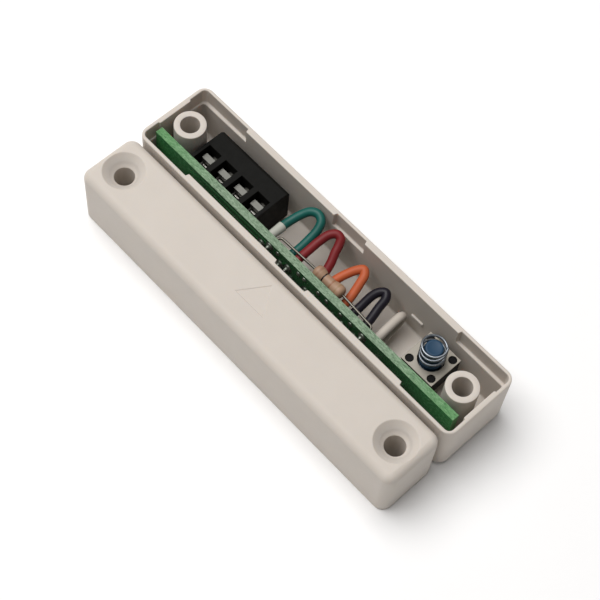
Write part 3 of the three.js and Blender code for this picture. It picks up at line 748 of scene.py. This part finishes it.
def joints_on_board():
    """Solder joints on the near face, and a copper ring under each."""
    wires = [(x, z, 0.62, LEAD) for points in LINKS.values() for x, _, z in (points[0], points[-1])]
    wires += [(x, z, 0.62, LEAD) for x, _, z in RESISTOR_BENDS.values()]
    wires += [(1.8 - 9.7, 3.2, 0.65, LEAD), (1.8 + 9.7, 3.2, 0.65, LEAD)]
    wires += [(x, 3.5, 0.85, 0.4) for x in (-23.35, -19.85, -16.35, -12.85)]
    wires += [(21 + s * 2.25, 4.6, 0.85, 0.42) for s in (-1, 1)]
    solder, rings = [], []
    for x, z, radius, wire in wires:
        profile = [(0, -0.2), (radius, -0.2), (radius, 0.04), (radius * 0.93, 0.12), (radius * 0.78, 0.2),
                   (radius * 0.6, 0.3), (radius * 0.45 + wire * 0.3, 0.42), (wire + 0.06, 0.58),
                   (wire + 0.02, 0.7), (wire * 0.6, 0.76), (0, 0.78)]
        solder.append(moved(lathe(profile, 24), Vector((x, NEAR_FACE, z)), TURN_TO_NEAR))
        ring = [(radius + 0.16, -0.1), (radius + 0.16, 0.03), (radius - 0.1, 0.03), (radius - 0.1, -0.1)]
        rings.append(moved(lathe(ring, 24, loop=True), Vector((x, NEAR_FACE, z)), TURN_TO_NEAR))
        far = [(radius + 0.1, -0.04), (radius + 0.1, 0.1), (radius - 0.22, 0.1), (radius - 0.22, -0.04)]
        rings.append(moved(lathe(far, 24, loop=True), Vector((x, FAR_FACE, z)), TURN_TO_NEAR))
    dome = [(0, -0.2), (0.4, -0.2), (0.4, 0.02), (0.36, 0.1), (0.28, 0.17), (0.18, 0.22), (0.08, 0.25),
            (0, 0.25)]
    for x in (-4.5, -0.2, 1.0, 3.9, 5.6, 8.4, 10.4):
        solder.append(moved(lathe(dome, 24), Vector((x, NEAR_FACE, 9.35)), TURN_TO_NEAR))
    piece("solder_joints", moved(joined(*solder), SENSOR), SOLDER, BOARD, sharp=50)
    piece("solder_lands", moved(joined(*rings), SENSOR), SOLDER, BOARD)


def tracks():
    """Copper tracks under the solder mask, a little proud of the faces."""
    runs = [
        (NEAR_FACE, [(-23.35, 3.5), (-23.35, 8.2), (-21, 9.4), (-10.5, 9.4), (-6.2, 9.35)]),
        (NEAR_FACE, [(-19.85, 3.5), (-19.85, 6.6), (-18.4, 8), (-11, 8), (-7.85, 8.1)]),
        (NEAR_FACE, [(-16.35, 3.5), (-16.35, 5.2), (-14.8, 6.6), (-9, 6.6), (-7.2, 5.2)]),
        (NEAR_FACE, [(-12.85, 3.5), (-11.5, 2.4), (-8.6, 2.4), (-7.9, 3.2)]),
        (NEAR_FACE, [(-3.9, 7.3), (-2.9, 8.6), (-2.3, 8.2)]),
        (NEAR_FACE, [(1.45, 6.7), (2.2, 6.2), (3.1, 7)]),
        (NEAR_FACE, [(6.95, 7), (8, 6.3), (8.9, 7.2)]),
        (NEAR_FACE, [(11.4, 7.1), (12.2, 6.4), (13.5, 5.8)]),
        (NEAR_FACE, [(11.5, 3.2), (12.4, 2.4), (16.4, 2.4), (18.75, 4.6)]),
        (NEAR_FACE, [(13.3, 3.2), (15, 3.9), (16.8, 6.9), (21.4, 6.9), (23.25, 4.6)]),
        (FAR_FACE, [(-6.2, 9.35), (-8, 8.9), (-11, 6.2), (-23.35, 6.2), (-26.5, 8.2), (-29, 8.2)]),
        (FAR_FACE, [(12.8, 9.15), (16, 8.6), (24.5, 8.6), (27.5, 6), (29.2, 6)]),
        (FAR_FACE, [(23.25, 4.6), (25, 2.6), (28.8, 2.6)]),
        (NEAR_FACE, [(23.25, 4.6), (25, 6.4), (29.3, 6.4)]),
        (NEAR_FACE, [(-29.5, 5.6), (-26, 5.6), (-24.4, 4.4), (-23.35, 3.5)]),
    ]
    strips = []
    for face, points in runs:
        outward = -1 if face == NEAR_FACE else 1
        low, high = sorted((face - outward * 0.1, face + outward * 0.035))
        for (x0, z0), (x1, z1) in zip(points, points[1:]):
            along = Vector((x1 - x0, 0, z1 - z0)).normalized()
            across = Vector((-along.z, 0, along.x)) * 0.17
            a, b = Vector((x0, 0, z0)) - along * 0.06, Vector((x1, 0, z1)) + along * 0.06
            corners = (a - across, b - across, b + across, a + across)
            strips.append(loft([[p + Vector((0, y, 0)) for p in corners] for y in (low, high)]))
    piece("board_tracks", moved(joined(*strips), SENSOR), TRACK_GREEN, BOARD)


def chips():
    for number, (x, z) in enumerate(((-5.6, 5.2), (-0.5, 5), (5, 5), (10.2, 5)), 1):
        near = NEAR_FACE - 0.1
        body = rib((x - 1.2, near - 0.5, z - 0.78), (x + 1.2, near, z + 0.78), 0.05)
        ends = [rib((x + a, near - 0.55, z - 0.8), (x + b, near + 0.02, z + 0.8), 0.1)
                for a, b in ((-1.55, -1.1), (1.1, 1.55))]
        fillets = [wedge(x + s * 1.5, near, z, s) for s in (-1, 1)]
        piece(f"chip_{number}_body", moved(body, SENSOR), CHIP_BLACK, BOARD,
              [f"chip_resistor_{number}"])
        piece(f"chip_{number}_ends", moved(joined(*ends, *fillets), SENSOR), SOLDER, BOARD)


def wedge(x, y, z, direction):
    """The solder fillet at the end of a surface-mount part."""
    profile = [(0, -0.42), (0.12, -0.3), (0.3, -0.12), (0.55, -0.02), (0.55, 0.12), (0, 0.12)]
    return loft([[Vector((x + direction * dx, y + dy, z + dz)) for dx, dy in profile]
                 for dz in (-0.72, -0.3, 0.3, 0.72)])


# ------------------------------------------------------------------ terminals and switch

def terminals():
    dress("terminal_body", TERMINAL_BLACK, 0.09)
    for n in range(1, 5):
        dress(f"terminal_clamp_{n}", TERMINAL_METAL, 0.28, segments=5)
        dress(f"terminal_screw_{n}", SCREW_METAL, 0.08, segments=3)
        dress(f"terminal_pin_{n}", TINNED, 0.04)


def switch():
    dress("tamper_base", SWITCH_BLACK, 0.08)
    dress("tamper_cover_plate", SWITCH_PLATE, 0.05)
    dress("tamper_dome", SPRING_STEEL)
    dress("tamper_leg_left", TINNED, 0.04)
    dress("tamper_leg_right", TINNED, 0.04)
    stem = [(0, 6.15), (1.45, 6.15), (1.6, 6.3), (1.6, 7.22), (1.7, 7.28), (1.77, 7.36), (1.8, 7.46),
            (1.8, 7.56), (1.75, 7.66), (1.68, 7.7), (1.42, 7.72), (1.35, 7.8), (1.35, 10.34), (1.31, 10.47),
            (1.21, 10.56), (1.07, 10.6), (0.95, 10.58), (0.8, 10.53), (0, 10.5)]
    piece("plunger_detail", moved(lathe(stem, 48), TACT), PLUNGER_BLUE, "tamper_plunger",
          ["tamper_plunger"])
    spring()


def spring(steps=200):
    """The coil spring round the plunger, wound closer for the first and last half turn."""
    coil, wire, bottom, top, turns, closed = 1.8, 0.19, 7.75, 11.5, 3.1, 0.5
    closed_rise = 4 * closed * wire
    rise = top - bottom - 2 * wire - closed_rise
    path = []
    for i in range(steps + 1):
        turn = turns * i / steps
        opened = min(max(turn - closed, 0), turns - 2 * closed) / (turns - 2 * closed)
        shut = (min(turn, closed) + max(turn - turns + closed, 0)) / (2 * closed)
        angle = 2 * math.pi * turn
        path.append((coil * math.cos(angle), coil * math.sin(angle),
                     bottom + wire + opened * rise + shut * closed_rise))
    thing = piece("spring_detail", moved(sweep(path, wire, 12, bevel=0.04), TACT), SPRING_STEEL,
                  "tamper_plunger", ["tamper_spring"], sharp=60)
    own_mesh(thing)


# ------------------------------------------------------------------ floor, lights and camera

def floor():
    material, tree, shader = new_material("floor")
    tint = ramp(tree, noise(tree, place(tree), 0.02, 3), [(0.3, 0.94), (0.7, 0.96)])
    tree.links.new(tint, shader.inputs["Base Color"])
    shader.inputs["Roughness"].default_value = 0.9
    shader.inputs["Specular IOR Level"].default_value = 0.1
    ground = mesh_object("floor", box((-3000, -3000, -20), (3000, 3000, 0)))
    ground.data.materials.append(material)


def area_light(name, location, size, energy, colour):
    """A round soft light, in metres and watts, that points at the middle of the floor."""
    lamp = bpy.data.lights.new(name, "AREA")
    lamp.shape = "DISK"
    lamp.size = size
    lamp.energy = energy
    lamp.color = colour
    thing = bpy.data.objects.new(name, lamp)
    thing.location = location
    thing.rotation_euler = (-Vector(location)).to_track_quat("-Z", "Y").to_euler()
    bpy.context.scene.collection.objects.link(thing)


def lights():
    world = bpy.data.worlds.new("studio")
    world.use_nodes = True
    background = next(n for n in world.node_tree.nodes if n.type == "BACKGROUND")
    background.inputs["Color"].default_value = (1.0, 0.99, 0.975, 1)
    background.inputs["Strength"].default_value = 0.18
    bpy.context.scene.world = world
    area_light("key", (-0.27, -0.07, 0.8), size=0.8, energy=8.4, colour=(1.0, 0.99, 0.985))
    bpy.context.scene.view_settings.view_transform = "Standard"


def camera():
    """The view: turned az about the vertical and el down, rolled, from distance mm off the target."""
    az, el, roll = (math.radians(a) for a in (40.825, 62.515, 7.0))
    target, distance, focal = Vector((0.068, 2.257, 0)), 232.26, 95.19
    forward = Vector((-math.sin(az) * math.cos(el), math.cos(az) * math.cos(el), -math.sin(el)))
    right = Vector((math.cos(az), math.sin(az), 0))
    up = right.cross(forward)
    across = right * math.cos(roll) + up * math.sin(roll)
    upward = up * math.cos(roll) - right * math.sin(roll)
    lens = bpy.data.cameras.new("camera")
    lens.lens = focal
    lens.sensor_width = 36
    lens.clip_start = 0.01
    view = bpy.data.objects.new("camera", lens)
    pose = Matrix((across, upward, -forward)).transposed().to_4x4()
    pose.translation = (target - forward * distance) * MM
    view.matrix_world = pose
    bpy.context.scene.collection.objects.link(view)
    bpy.context.scene.camera = view


# ------------------------------------------------------------------ everything

camera()
floor()
lights()
shell_of_sensor()
magnet_housing()
dress("bar_magnet", FERRITE, 0.15)
dress("circuit_board", BOARD_GREEN)
joints_on_board()
tracks()
chips()
terminals()
wire_links()
resistor()
reed()
switch()

bpy.context.view_layer.update()
